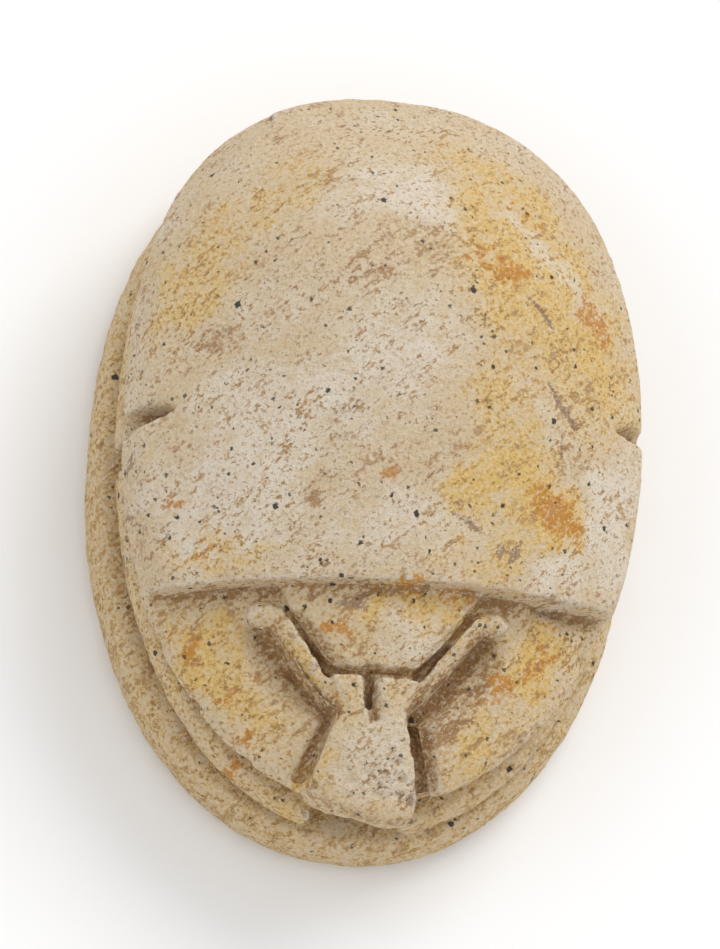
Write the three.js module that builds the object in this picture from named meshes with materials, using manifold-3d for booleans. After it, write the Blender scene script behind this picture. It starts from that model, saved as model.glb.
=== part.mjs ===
// Scarab amulet: one pierced stone, carved as a beetle lying on an oval plinth.
// Millimetres, +Z up, +Y towards the tail and -Y towards the head.
// The origin is the middle of the flat underside.

import * as THREE from 'three';
import { ConvexGeometry } from 'three/addons/geometries/ConvexGeometry.js';
import { mergeVertices } from 'three/addons/utils/BufferGeometryUtils.js';
import Module from 'manifold-3d';

const wasm = await Module();
wasm.setup();

// ---------------------------------------------------------------- driving dimensions

const LENGTH = 18.0;
const WIDTH = 12.8;
const HEIGHT = 7.6;

const OVAL_SEGMENTS = 88;
const TINY = 1e-4;

// The plinth: a thick oval slab with worn edges.
const PLINTH = {
  halfWidth: WIDTH / 2,
  halfLength: LENGTH / 2,
  fullness: { head: 2.07, tailLeft: 2.25, tailRight: 2.2 },
  top: 1.72,
  bellyZ: 0.8,
  footInset: 0.4,
  rimInset: 0.3,
};

// The narrower block inside, seen at the bottom of the grooves. It stays low under the head, and
// reaches up into the back.
const CORE = { halfWidth: 5.5, halfLength: 8.15, bottom: 0.9, top: 3.6, backTop: 4.4, backInset: 0.25 };

// The legs: a band along each side, parted by a gap below the side notches.
const LEGS = {
  bottom: 1.98,
  rearTop: 3.3,
  frontTop: 2.95,
  rearHalfWidth: 6.04,
  rearHalfLength: 8.5,
  frontHalfWidth: 5.98,
  frontHalfLength: 8.8,
  edge: 0.18,
  gap: 0.6,
  gapY: { left: -0.28, right: 0.3 },
  kneeY: 4.6,
  kneeWidth: 0.4,
  kneeSlant: 0.9,
  frontEndX: 1.06,
  tailEndX: 1.1,
};

// The back: a low upright wall with a dome on it. The summit lies towards the tail, and the stoop
// tips the dome down towards the head.
const BACK = {
  halfWidth: 6.09,
  halfLength: 8.56,
  fullness: { head: 2.0, tailLeft: 2.62, tailRight: 2.32 },
  midX: 0.05,
  underside: 3.72,
  rimZ: 3.92,
  wallTop: 4.62,
  wallLean: 0.1,
  summitY: 1.8,
  stoop: 0.12,
  curve: 1.95,
  rings: 9,
};

// The pronotum, the front part of the back, ends in a step down to the head.
const PRONOTUM = { frontY: -3.74 };

// Cross cuts run a little askew, nearer the tail on the +X side.
const SKEW = 0.041;

// Side notches between pronotum and wing cases.
const NOTCHES = [
  { side: -1, apexX: 4.85, apexY: 0.28, tailY: 0.44, headY: -0.36 },
  { side: 1, apexX: 5.1, apexY: 0.72, tailY: 1.1, headY: 0.5 },
];

// The head: a lower dome in front of the step, with raised parts on it.
const HEAD = {
  halfWidth: 6.05,
  halfLength: 8.55,
  underside: 3.52,
  deep: 3.0,
  rimZ: 3.84,
  rise: 2.12,
  bevel: 0.16,
  fullness: { head: 2, tailLeft: 2, tailRight: 2 },
  rings: 10,
  curve: 2,
};

// The head's carving is set a little to the left of the middle.
const HEAD_MID_X = -0.08;

const BOWL = {
  lift: 0.34,
  halfWidth: 2.1,
  rearY: -3.6,
  shoulderY: -4.2,
  bottomY: -5.55,
  bottomHalfWidth: 0.84,
};

// Two raised arms run from the knobs in to the clypeus, on either side of the bowl.
const ARMS = {
  lift: 0.38,
  width: 0.36,
  line: [[2.42, -4.36], [2.08, -4.78], [1.66, -5.36], [1.28, -5.86], [0.78, -6.3]],
};

const KNOBS = { x: 2.62, y: -4.4, along: 0.44, across: 0.32, tall: 0.32 };

const CLYPEUS = {
  lift: 0.36,
  rearY: -5.78,
  shoulder: 1.0,
  waistY: -6.55,
  waist: 0.8,
  footY: -8.3,
  footLeft: 1.3,
  footRight: 1.24,
  tipLeftY: -8.55,
  tipRightY: -8.94,
  underside: 3.3,
  overhang: -0.42,
};

const SLOT = { x: -0.25, rearY: -5.5, frontY: -6.52, rearWidth: 0.4, frontWidth: 0.26, depth: 0.34 };

// The channel behind each cheek plate, along the foot of the step.
const CHANNELS = { innerX: 3.2, depth: 0.26, widths: [[-1, 0.52], [1, 0.3]] };

// The grooves beside the flanks of the clypeus. The right one is deeper and runs out over the rim.
const SIDE_GROOVES = [
  { side: -1, rearX: 0.92, frontX: 1.5, frontY: -8.05, rearWidth: 0.24, frontWidth: 0.4, depth: 0.24 },
  { side: 1, rearX: 0.98, frontX: 1.57, frontY: -8.75, rearWidth: 0.42, frontWidth: 0.72, depth: 0.5 },
];

// Each cheek plate is hollowed along the outer side of its arm. The turn is from the X axis.
const DISH = { x: 1.95, y: -5.85, lift: 0.3, along: 1.85, across: 0.95, tall: 0.68, turnDeg: 46 };

// The right cheek plate is worn back from the rim.
const WORN_EDGE = { halfWidth: 5.98, halfLength: 8.36, fromY: -4.4 };

// The hollow between the front legs, below the clypeus.
const HOLLOW = { halfWidth: 1.06, backY: -7.35, top: 3.24 };

const DRILL = { diameter: 1.6, z: 2.75 };

// A bite broken out of the rear corner of the right cheek plate.
const BITE = { centre: [5.37, -4.5, 4.05], halfSizes: [0.56, 0.68, 0.75] };

// ---------------------------------------------------------------- solids

// A closed manifold solid from a three.js geometry, without its pole and seam slivers.
function solid(geometry) {
  const bare = geometry.clone();
  bare.deleteAttribute('normal');
  bare.deleteAttribute('uv');
  const merged = mergeVertices(bare, TINY);
  const index = merged.index.array;
  const triangles = [];
  for (let i = 0; i < index.length; i += 3) {
    const [a, b, c] = [index[i], index[i + 1], index[i + 2]];
    if (a !== b && b !== c && c !== a) triangles.push(a, b, c);
  }
  return new wasm.Manifold(new wasm.Mesh({
    numProp: 3,
    vertProperties: Float32Array.from(merged.attributes.position.array),
    triVerts: Uint32Array.from(triangles),
  }));
}

// Distance from the middle to the edge of an oval, along a direction. Its head half and the two
// quarters of its tail half have their own fullness: 2 is an ellipse, and more is squarer.
function ovalReach({ halfWidth, halfLength, fullness }, angle) {
  const across = Math.cos(angle);
  const along = Math.sin(angle);
  const tail = across < 0 ? fullness.tailLeft : fullness.tailRight;
  const power = along < 0 ? fullness.head : tail;
  return (Math.abs(across / halfWidth) ** power + Math.abs(along / halfLength) ** power) ** (-1 / power);
}

// A solid skinned over level ovals, from the lowest to the highest. Each ring has its height z,
// a scale, an inset in mm, a shift along Y and a stoop, by which z falls for each mm towards the
// head. Caps close it at both ends. The turn moves the rings' corners along the oval, by a share
// of a segment, so that the corners of nested stacks don't line up.
function ovalStack(oval, rings, turn = 0) {
  const closed = [{ ...rings[0], scale: 0 }, ...rings, { ...rings[rings.length - 1], scale: 0 }];
  const profile = closed.map((ring) => new THREE.Vector2(1, ring.z));
  const geometry = new THREE.LatheGeometry(profile, OVAL_SEGMENTS);
  const position = geometry.attributes.position;
  for (let segment = 0; segment <= OVAL_SEGMENTS; segment += 1) {
    const angle = (((segment % OVAL_SEGMENTS) + turn) / OVAL_SEGMENTS) * 2 * Math.PI;
    const edge = ovalReach(oval, angle);
    closed.forEach((ring, row) => {
      const { z, scale = 1, inset = 0, shiftY = 0, stoop = 0 } = ring;
      const reach = scale === 0 ? 0 : edge * scale - inset;
      const x = reach * Math.cos(angle) + (oval.midX ?? 0);
      const y = reach * Math.sin(angle) + shiftY;
      position.setXYZ(segment * closed.length + row, x, y, z + stoop * y);
    });
  }
  return solid(geometry);
}

// A straight-sided block over a plan outline.
function prism(outline, bottom, top) {
  const geometry = new THREE.ExtrudeGeometry(outline, { depth: top - bottom, bevelEnabled: false });
  geometry.translate(0, 0, bottom);
  return solid(geometry);
}

function plan(points) {
  return new THREE.Shape(points.map(([x, y]) => new THREE.Vector2(x, y)));
}

// A block that keeps only what lies between two skewed cross lines.
function slice(headY, tailY) {
  const reach = WIDTH;
  const points = [
    [-reach, headY - SKEW * reach],
    [reach, headY + SKEW * reach],
    [reach, tailY + SKEW * reach],
    [-reach, tailY - SKEW * reach],
  ];
  return prism(plan(points), -1, HEIGHT + 1);
}

function ellipsoid(centre, halfSizes, turn = 0) {
  const geometry = new THREE.SphereGeometry(1, 20, 12);
  geometry.rotateX(Math.PI / 2);
  geometry.scale(...halfSizes);
  geometry.rotateZ(turn);
  geometry.translate(...centre);
  return solid(geometry);
}

// The smallest convex block round some corners, given for the +X side and mirrored for the other.
function wedge(corners, side) {
  return solid(new ConvexGeometry(corners.map(([x, y, z]) => new THREE.Vector3(side * x, y, z))));
}

// A cut along the head, from a rear to a front point, each [x, y, width]. Its floor lies at a lift
// from the head's dome, and its floor is narrower than its mouth by a share.
function trough(rear, front, lift, floorShare) {
  const corners = [rear, front].flatMap(([x, y, width]) => [-1, 1].flatMap((edge) => [
    [x + (edge * width) / 2, y, HEIGHT],
    [x + (edge * width * floorShare) / 2, y, headZ(x, y) + lift],
  ]));
  return wedge(corners, 1);
}

function union(solids) {
  return solids.reduce((whole, next) => whole.add(next));
}

// ---------------------------------------------------------------- plinth, core and legs

function makePlinth() {
  const { bellyZ, top, footInset, rimInset } = PLINTH;
  return ovalStack(PLINTH, [
    { z: 0, inset: footInset },
    { z: bellyZ * 0.15, inset: footInset * 0.5 },
    { z: bellyZ * 0.45, inset: footInset * 0.15 },
    { z: bellyZ, inset: 0 },
    { z: top - 0.45, inset: rimInset * 0.15 },
    { z: top - 0.18, inset: rimInset * 0.5 },
    { z: top - 0.04, inset: rimInset },
    { z: top, inset: rimInset * 1.8 },
  ]);
}

function makeCore() {
  const oval = { ...BACK, halfWidth: CORE.halfWidth, halfLength: CORE.halfLength };
  const low = ovalStack(oval, [{ z: CORE.bottom }, { z: CORE.top }], 0.37);
  const inset = CORE.backInset;
  const high = ovalStack(oval, [{ z: CORE.top - inset, inset }, { z: CORE.backTop, inset }], 0.21);
  return low.add(high.intersect(slice(PRONOTUM.frontY + inset, LENGTH)));
}

// A full band all round, which is then cut to length.
function legBand(halfWidth, halfLength, top, turn) {
  const oval = { ...BACK, halfWidth, halfLength };
  const { bottom, edge } = LEGS;
  return ovalStack(oval, [
    { z: bottom, inset: edge },
    { z: bottom + edge, inset: edge * 0.2 },
    { z: (bottom + top) / 2, inset: 0 },
    { z: top - edge, inset: edge * 0.2 },
    { z: top, inset: edge },
    { z: top + 0.1, inset: edge * 5 },
  ], turn);
}

// A quarter of the plan, on one side, from a line across the stone to its end.
function quarter(side, innerX, fromY, endY) {
  const [inner, outer] = [side * innerX, side * WIDTH];
  return prism(plan([[inner, fromY], [outer, fromY], [outer, endY], [inner, endY]]), CORE.bottom, HEIGHT);
}

// The legs of one side: the front leg, the gap, and the middle and hind legs parted by a slanting cut.
function makeSideLegs(side, gapY) {
  const { gap, kneeY, kneeWidth, kneeSlant, tailEndX, frontEndX } = LEGS;
  const rearBand = legBand(LEGS.rearHalfWidth, LEGS.rearHalfLength, LEGS.rearTop, 0.71);
  const frontBand = legBand(LEGS.frontHalfWidth, LEGS.frontHalfLength, LEGS.frontTop, 0.13);
  const knee = wedge([LEGS.bottom - 0.2, LEGS.rearTop + 0.5].flatMap((z, level) => {
    const y = kneeY + (level - 0.5) * kneeSlant;
    return [[WIDTH / 2, y - kneeWidth, z], [WIDTH / 2, y + kneeWidth, z], [CORE.halfWidth - 0.6, y, z]];
  }), side);
  const rear = rearBand.intersect(quarter(side, tailEndX, gapY + gap / 2, LENGTH)).subtract(knee);
  const front = frontBand.intersect(quarter(side, frontEndX, gapY - gap / 2, -LENGTH));
  return rear.add(front);
}

// ---------------------------------------------------------------- back

// Rings of a dome from its edge to its summit, closer together near the edge.
function domeRings(bottom, top, { rings, curve, inset = 0, summitY = 0, stoop = 0 }) {
  return Array.from({ length: rings + 1 }, (_, ring) => {
    const scale = ring === rings ? 0 : Math.cos((ring / rings) * (Math.PI / 2));
    return {
      z: bottom + (top - bottom) * (1 - scale ** curve) - stoop * summitY * (1 - scale),
      scale,
      inset: inset * scale,
      shiftY: summitY * (1 - scale),
      stoop: stoop * (1 - scale),
    };
  });
}

function makeBlank() {
  const { underside, rimZ, wallTop, wallLean } = BACK;
  return ovalStack(BACK, [
    { z: underside, inset: 0.22 },
    { z: underside + 0.08, inset: 0.05 },
    { z: rimZ, inset: 0 },
    ...domeRings(wallTop, HEIGHT, { ...BACK, inset: wallLean }),
  ]);
}

// A side notch: a V in plan, whose floor rises from below the rim to its apex on the dome.
function notchCut({ side, apexX, apexY, tailY, headY }) {
  const outerX = BACK.halfWidth + 0.5;
  const spread = (outerX - apexX) / (BACK.halfWidth - apexX);
  const mouth = (y) => apexY + (y - apexY) * spread;
  const floor = BACK.underside - 0.15;
  return wedge([
    [apexX, apexY, BACK.wallTop - 0.3],
    [apexX, apexY, HEIGHT],
    [outerX, mouth(tailY), HEIGHT],
    [outerX, mouth(headY), HEIGHT],
    [outerX, mouth(tailY * 0.9 + headY * 0.1), floor],
    [outerX, mouth(headY * 0.9 + tailY * 0.1), floor],
  ], side);
}

function makeBack() {
  const stepped = makeBlank().subtract(slice(-LENGTH, PRONOTUM.frontY));
  return NOTCHES.reduce((back, notch) => back.subtract(notchCut(notch)), stepped);
}

// ---------------------------------------------------------------- head

// Height of the head's low dome at a plan point.
function headZ(x, y) {
  const share = (x / HEAD.halfWidth) ** 2 + (y / HEAD.halfLength) ** 2;
  return HEAD.rimZ + HEAD.rise * (1 - share);
}

// The head's low dome, raised by a lift and drawn in by an inset for the parts that stand out.
function headDome(lift, inset = 0, turn = 0) {
  const [edge, ...crown] = domeRings(HEAD.rimZ + lift, HEAD.rimZ + HEAD.rise + lift, { ...HEAD, inset });
  const bottom = lift > 0 ? HEAD.deep : HEAD.underside;
  return ovalStack(HEAD, [
    { z: bottom, inset: inset + 0.12 },
    { z: edge.z - HEAD.bevel, inset },
    { z: edge.z, inset: inset + HEAD.bevel * 0.7 },
    ...crown,
  ], turn);
}

// A raised part of the head: its plan outline, topped by the lifted dome.
function raised(outline, lift, inset, bottom, turn) {
  return prism(outline, bottom, HEIGHT).intersect(headDome(lift, inset, turn));
}

// A point of the head's own square frame, at its skewed place.
function onHead(x, y) {
  return [HEAD_MID_X + x, y + SKEW * x];
}

// The bowl's outline: straight behind, and rounding in to its bottom.
function bowlOutline() {
  const { halfWidth, rearY, shoulderY, bottomY, bottomHalfWidth } = BOWL;
  const round = new THREE.SplineCurve([
    new THREE.Vector2(halfWidth, shoulderY),
    new THREE.Vector2(halfWidth * 0.7, (shoulderY + bottomY) / 2 - 0.1),
    new THREE.Vector2(bottomHalfWidth, bottomY),
    new THREE.Vector2(0, bottomY - 0.04),
  ]);
  const half = [new THREE.Vector2(halfWidth * 1.15, rearY), ...round.getPoints(8)];
  const right = half.map(({ x, y }) => onHead(x, y));
  const left = half.slice(0, -1).reverse().map(({ x, y }) => onHead(-x, y));
  return plan([...right, ...left]);
}

// The plan outline of a strip that follows a line, on one side of the head.
function stripOutline(line, width, side) {
  const curve = new THREE.SplineCurve(line.map(([x, y]) => new THREE.Vector2(...onHead(side * x, y))));
  const steps = 10;
  const edges = [1, -1].map((sign) => Array.from({ length: steps + 1 }, (_, step) => {
    const point = curve.getPoint(step / steps);
    const along = curve.getTangent(step / steps);
    return [point.x - (sign * along.y * width) / 2, point.y + (sign * along.x * width) / 2];
  }));
  return plan([...edges[0], ...edges[1].reverse()]);
}

function makeArm(side) {
  const outline = stripOutline(ARMS.line, ARMS.width, side);
  return raised(outline, ARMS.lift, 0.2, HEAD.deep + 0.1, side > 0 ? 0.43 : 0.19);
}

function makeKnobs() {
  const { x, y, along, across, tall } = KNOBS;
  return union([-1, 1].map((side) => {
    const [knobX, knobY] = onHead(side * x, y);
    const z = headZ(knobX, knobY) + ARMS.lift - tall * 0.75;
    return ellipsoid([knobX, knobY, z], [along, across, tall]);
  }));
}

// The clypeus: waisted, flaring to a blunt front edge that hangs over the hollow.
function makeClypeus() {
  const { lift, rearY, shoulder, waistY, waist, footY, footLeft, footRight } = CLYPEUS;
  const { tipLeftY, tipRightY, underside, overhang } = CLYPEUS;
  const flank = (side, foot) => new THREE.SplineCurve([
    new THREE.Vector2(HEAD_MID_X + side * shoulder, rearY),
    new THREE.Vector2(HEAD_MID_X + side * waist, waistY),
    new THREE.Vector2(HEAD_MID_X + side * (waist * 0.45 + foot * 0.55), (waistY + footY) / 2),
    new THREE.Vector2(HEAD_MID_X + side * foot, footY),
  ]).getPoints(9).map(({ x, y }) => [x, y]);
  const right = flank(1, footRight);
  const left = flank(-1, footLeft).reverse();
  const front = [
    [HEAD_MID_X + footRight * 0.97, (footY + tipRightY) / 2 - 0.08],
    [HEAD_MID_X + footRight * 0.82, tipRightY],
    [HEAD_MID_X + footRight * 0.5, tipRightY + 0.05],
    [HEAD_MID_X - footLeft * 0.7, tipLeftY],
  ];
  return raised(plan([...right, ...front, ...left]), lift, overhang, underside, 0.27);
}

function slotCut() {
  const { x, rearY, frontY, rearWidth, frontWidth, depth } = SLOT;
  return trough([x, rearY, rearWidth], [x + 0.06, frontY, frontWidth], CLYPEUS.lift - depth, 0.8);
}

// The channel behind each cheek plate, open through the rim.
function channelCut([side, width]) {
  const { innerX, depth } = CHANNELS;
  const wallY = (x) => PRONOTUM.frontY + 0.05 + side * SKEW * x;
  const floor = headZ(innerX, PRONOTUM.frontY) - depth * 0.5;
  return wedge([
    [innerX, wallY(innerX), floor],
    [innerX, wallY(innerX) - width * 0.5, floor],
    [WIDTH / 2, wallY(WIDTH / 2), HEAD.rimZ - depth * 2],
    [WIDTH / 2, wallY(WIDTH / 2) - width * 1.6, HEAD.rimZ - depth * 2],
    [innerX, wallY(innerX), HEIGHT],
    [innerX, wallY(innerX) - width, HEIGHT],
    [WIDTH / 2, wallY(WIDTH / 2), HEIGHT],
    [WIDTH / 2, wallY(WIDTH / 2) - width * 2, HEIGHT],
  ], side);
}

function sideGroove({ side, rearX, frontX, frontY, rearWidth, frontWidth, depth }) {
  const rear = [HEAD_MID_X + side * rearX, CLYPEUS.waistY, rearWidth];
  const front = [HEAD_MID_X + side * frontX, frontY, frontWidth];
  return trough(rear, front, -depth, 0.8);
}

function dishCut(side) {
  const { lift, along, across, tall, turnDeg } = DISH;
  const [x, y] = onHead(side * DISH.x, DISH.y);
  const turn = side * THREE.MathUtils.degToRad(turnDeg);
  return ellipsoid([x, y, headZ(x, y) + lift], [along, across, tall], turn);
}

// What is worn off the front of the right cheek plate.
function wornEdge() {
  const { halfWidth, halfLength, fromY } = WORN_EDGE;
  const kept = ovalStack({ ...HEAD, halfWidth, halfLength }, [{ z: 1 }, { z: HEIGHT }], 0.5);
  const reach = plan([[0, fromY], [WIDTH, fromY], [WIDTH, -LENGTH], [0, -LENGTH]]);
  return prism(reach, HEAD.underside - 0.3, HEIGHT).subtract(kept);
}

function makeHead() {
  const plates = headDome(0).intersect(slice(-LENGTH, PRONOTUM.frontY + 0.5));
  const bite = ellipsoid(BITE.centre, BITE.halfSizes);
  const grooves = [...CHANNELS.widths.map(channelCut), ...SIDE_GROOVES.map(sideGroove)];
  const cuts = [...grooves, dishCut(-1), dishCut(1), wornEdge(), bite];
  const carved = cuts.reduce((left, cut) => left.subtract(cut), plates);
  const bowl = raised(bowlOutline(), BOWL.lift, 0.3, HEAD.deep + 0.2, 0.61);
  return union([carved, bowl, makeArm(-1), makeArm(1), makeKnobs(), makeClypeus()]).subtract(slotCut());
}

// ---------------------------------------------------------------- cuts through the stone

function hollowCut() {
  const { halfWidth, backY, top } = HOLLOW;
  return wedge([-halfWidth, halfWidth].flatMap((x) => [
    [x, backY, PLINTH.top],
    [x, backY, top],
    [x * 1.05, -LENGTH, PLINTH.top],
    [x * 1.05, -LENGTH, top],
  ]), 1);
}

function drillCut() {
  const radius = DRILL.diameter / 2;
  return solid(new THREE.CylinderGeometry(radius, radius, LENGTH * 1.2, 20).translate(0, 0, DRILL.z));
}

// ---------------------------------------------------------------- the amulet

const body = union([
  makePlinth(),
  makeCore(),
  makeSideLegs(-1, LEGS.gapY.left),
  makeSideLegs(1, LEGS.gapY.right),
  makeBack(),
  makeHead(),
]);
const carved = body.subtract(hollowCut()).subtract(drillCut());

function geometryOf(whole) {
  const { vertProperties, triVerts } = whole.getMesh();
  const geometry = new THREE.BufferGeometry();
  geometry.setAttribute('position', new THREE.BufferAttribute(Float32Array.from(vertProperties), 3));
  geometry.setIndex(new THREE.BufferAttribute(Uint32Array.from(triVerts), 1));
  geometry.computeVertexNormals();
  return geometry;
}

const steatite = new THREE.MeshStandardMaterial({ color: 0xd9c7a1, roughness: 0.85, metalness: 0 });

const scarab = new THREE.Mesh(geometryOf(carved), steatite);
scarab.name = 'scarab';

const amulet = new THREE.Group();
amulet.add(scarab);

export default amulet;
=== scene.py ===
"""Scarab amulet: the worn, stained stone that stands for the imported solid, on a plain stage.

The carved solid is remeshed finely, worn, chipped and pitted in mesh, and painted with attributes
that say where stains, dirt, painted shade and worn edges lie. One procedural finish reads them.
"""

import logging
import math
from dataclasses import dataclass
from enum import Enum
from typing import Sequence

import bmesh
import bpy
import numpy as np
from mathutils import Matrix, Vector, noise


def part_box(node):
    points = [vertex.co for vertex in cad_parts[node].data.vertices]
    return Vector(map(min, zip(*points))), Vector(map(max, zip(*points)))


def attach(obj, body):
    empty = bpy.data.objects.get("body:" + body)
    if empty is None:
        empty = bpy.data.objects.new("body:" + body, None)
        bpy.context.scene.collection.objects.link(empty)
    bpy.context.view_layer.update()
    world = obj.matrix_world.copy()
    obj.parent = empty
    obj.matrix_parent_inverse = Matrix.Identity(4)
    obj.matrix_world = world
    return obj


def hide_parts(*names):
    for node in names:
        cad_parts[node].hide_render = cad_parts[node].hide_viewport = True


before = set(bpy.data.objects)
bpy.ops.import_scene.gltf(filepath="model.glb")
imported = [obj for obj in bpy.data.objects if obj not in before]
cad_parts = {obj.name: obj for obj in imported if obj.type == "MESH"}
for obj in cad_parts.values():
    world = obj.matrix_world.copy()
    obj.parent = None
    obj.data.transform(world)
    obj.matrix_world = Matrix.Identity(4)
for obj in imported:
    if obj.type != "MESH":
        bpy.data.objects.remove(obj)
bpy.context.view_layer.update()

MM = 0.001
LOG = logging.getLogger("scarab")


# ---------------------------------------------------------------- small helpers


def smoothstep(values: np.ndarray, low: float, high: float) -> np.ndarray:
    """Rises smoothly from 0 at low to 1 at high.

    Args:
        values: Numbers of any shape.
        low: Where the rise starts.
        high: Where it ends. It may be less than low, and then the result falls.

    Returns:
        The share of the rise, for each value.
    """
    share = np.clip((values - low) / (high - low), 0.0, 1.0)
    return share * share * (3.0 - 2.0 * share)


def fractal_field(points: np.ndarray, scale: Sequence[float], octaves: int, shift: float) -> np.ndarray:
    """Fractal noise at every point.

    Args:
        points: Places in millimetres, one a row.
        scale: Features per millimetre along each axis.
        octaves: How many octaves are summed.
        shift: An offset that makes one field differ from another.

    Returns:
        One value a point, from about -1 to 1.
    """
    placed = points * np.asarray(scale) + shift
    return np.fromiter((noise.fractal(p, 0.7, 2.0, octaves) for p in placed), float, len(placed))


# ---------------------------------------------------------------- places on the stone


@dataclass(frozen=True)
class Layout:
    """Where the carving lies, in millimetres from the middle of the underside."""

    step_y: float = -3.74
    skew: float = 0.041
    back_half_width: float = 6.09
    back_half_length: float = 8.56
    rim_z: float = 3.9
    head_rim_z: float = 3.84
    head_rise: float = 2.12
    head_half_width: float = 6.05
    head_half_length: float = 8.55

    def on_low_parts(self, points: np.ndarray) -> np.ndarray:
        """1 on the plinth and the legs, and 0 on the back and the head."""
        return smoothstep(points[:, 2], self.rim_z + 0.1, self.rim_z - 0.25)

    def before_step(self, points: np.ndarray) -> np.ndarray:
        """Distance in front of the step between pronotum and head, negative behind it."""
        return self.step_y + self.skew * points[:, 0] - points[:, 1]

    def back_share(self, points: np.ndarray) -> np.ndarray:
        """0 at the middle of the back's plan, and 1 along its edge."""
        across = points[:, 0] / self.back_half_width
        along = points[:, 1] / self.back_half_length
        return np.hypot(across, along)

    def above_head(self, points: np.ndarray) -> np.ndarray:
        """Height above the head's low dome."""
        share = (points[:, 0] / self.head_half_width) ** 2 + (points[:, 1] / self.head_half_length) ** 2
        return points[:, 2] - self.head_rim_z - self.head_rise * (1.0 - share)


class Tint(Enum):
    """What the painted attributes stand for. Each value is an attribute's name."""

    PALE = "pale"
    OCHRE = "ochre"
    RUST = "rust"
    UMBER = "umber"
    PLUM = "plum"
    SOOT = "soot"
    # Dirt with painted shade in hollows and along the head's cut lines.
    CREVICE = "crevice"
    WORN = "worn"


@dataclass(frozen=True)
class Stain:
    """A soft oval patch of one tint on the upper side of the stone. Lengths are in millimetres."""

    tint: Tint
    x: float
    y: float
    along: float
    across: float
    turn: float = 0.0
    strength: float = 1.0
    lowest: float = 2.0
    fade: float = 0.4
    rim: float = 1.15
    core: float = 0.35

    def weight(self, points: np.ndarray, warp: np.ndarray) -> np.ndarray:
        """Strength of the patch at each point.

        Args:
            points: Places in millimetres, one a row.
            warp: A shift of each point in plan, which makes the outline ragged.

        Returns:
            One value a point, from 0 to the patch's strength.
        """
        plan = points[:, :2] + warp - (self.x, self.y)
        turn = math.radians(self.turn)
        along = (plan[:, 0] * math.cos(turn) + plan[:, 1] * math.sin(turn)) / self.along
        across = (plan[:, 1] * math.cos(turn) - plan[:, 0] * math.sin(turn)) / self.across
        reach = np.hypot(along, across)
        high = smoothstep(points[:, 2], self.lowest - self.fade, self.lowest)
        return self.strength * smoothstep(reach, self.rim, self.core) * high


@dataclass(frozen=True)
class Cut:
    """A carved or scratched line on the upper side, through places in plan millimetres."""

    path: tuple[tuple[float, float], ...]
    half_width: float
    depth: float
    # How dark the line is painted: dirt, and along the head's cuts painted shade in the groove as well.
    dirt_and_shade: float = 1.0

    def weight(self, points: np.ndarray, spare: float = 0.0) -> np.ndarray:
        """How near each point is to the line in plan.

        Args:
            points: Places in millimetres, one a row.
            spare: How much wider than the cut the reach is.

        Returns:
            1 along the middle of the line, falling to 0 at its edges.
        """
        away = np.full(len(points), np.inf)
        for start, end in zip(self.path, self.path[1:]):
            run = np.subtract(end, start)
            from_start = points[:, :2] - start
            share = np.clip(from_start @ run / (run @ run), 0.0, 1.0)
            away = np.minimum(away, np.linalg.norm(from_start - share[:, None] * run, axis=1))
        return smoothstep(away, self.half_width + spare, 0.0)


@dataclass(frozen=True)
class Unevenness:
    """One layer of hand-made unevenness: its height and its features per millimetre along each axis."""

    height: float
    per_mm: tuple[float, float, float]
    octaves: int
    shift: float

    def field(self, points: np.ndarray) -> np.ndarray:
        """The layer's height at each point."""
        return self.height * fractal_field(points, self.per_mm, self.octaves, self.shift)


# ---------------------------------------------------------------- sculpting


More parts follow.
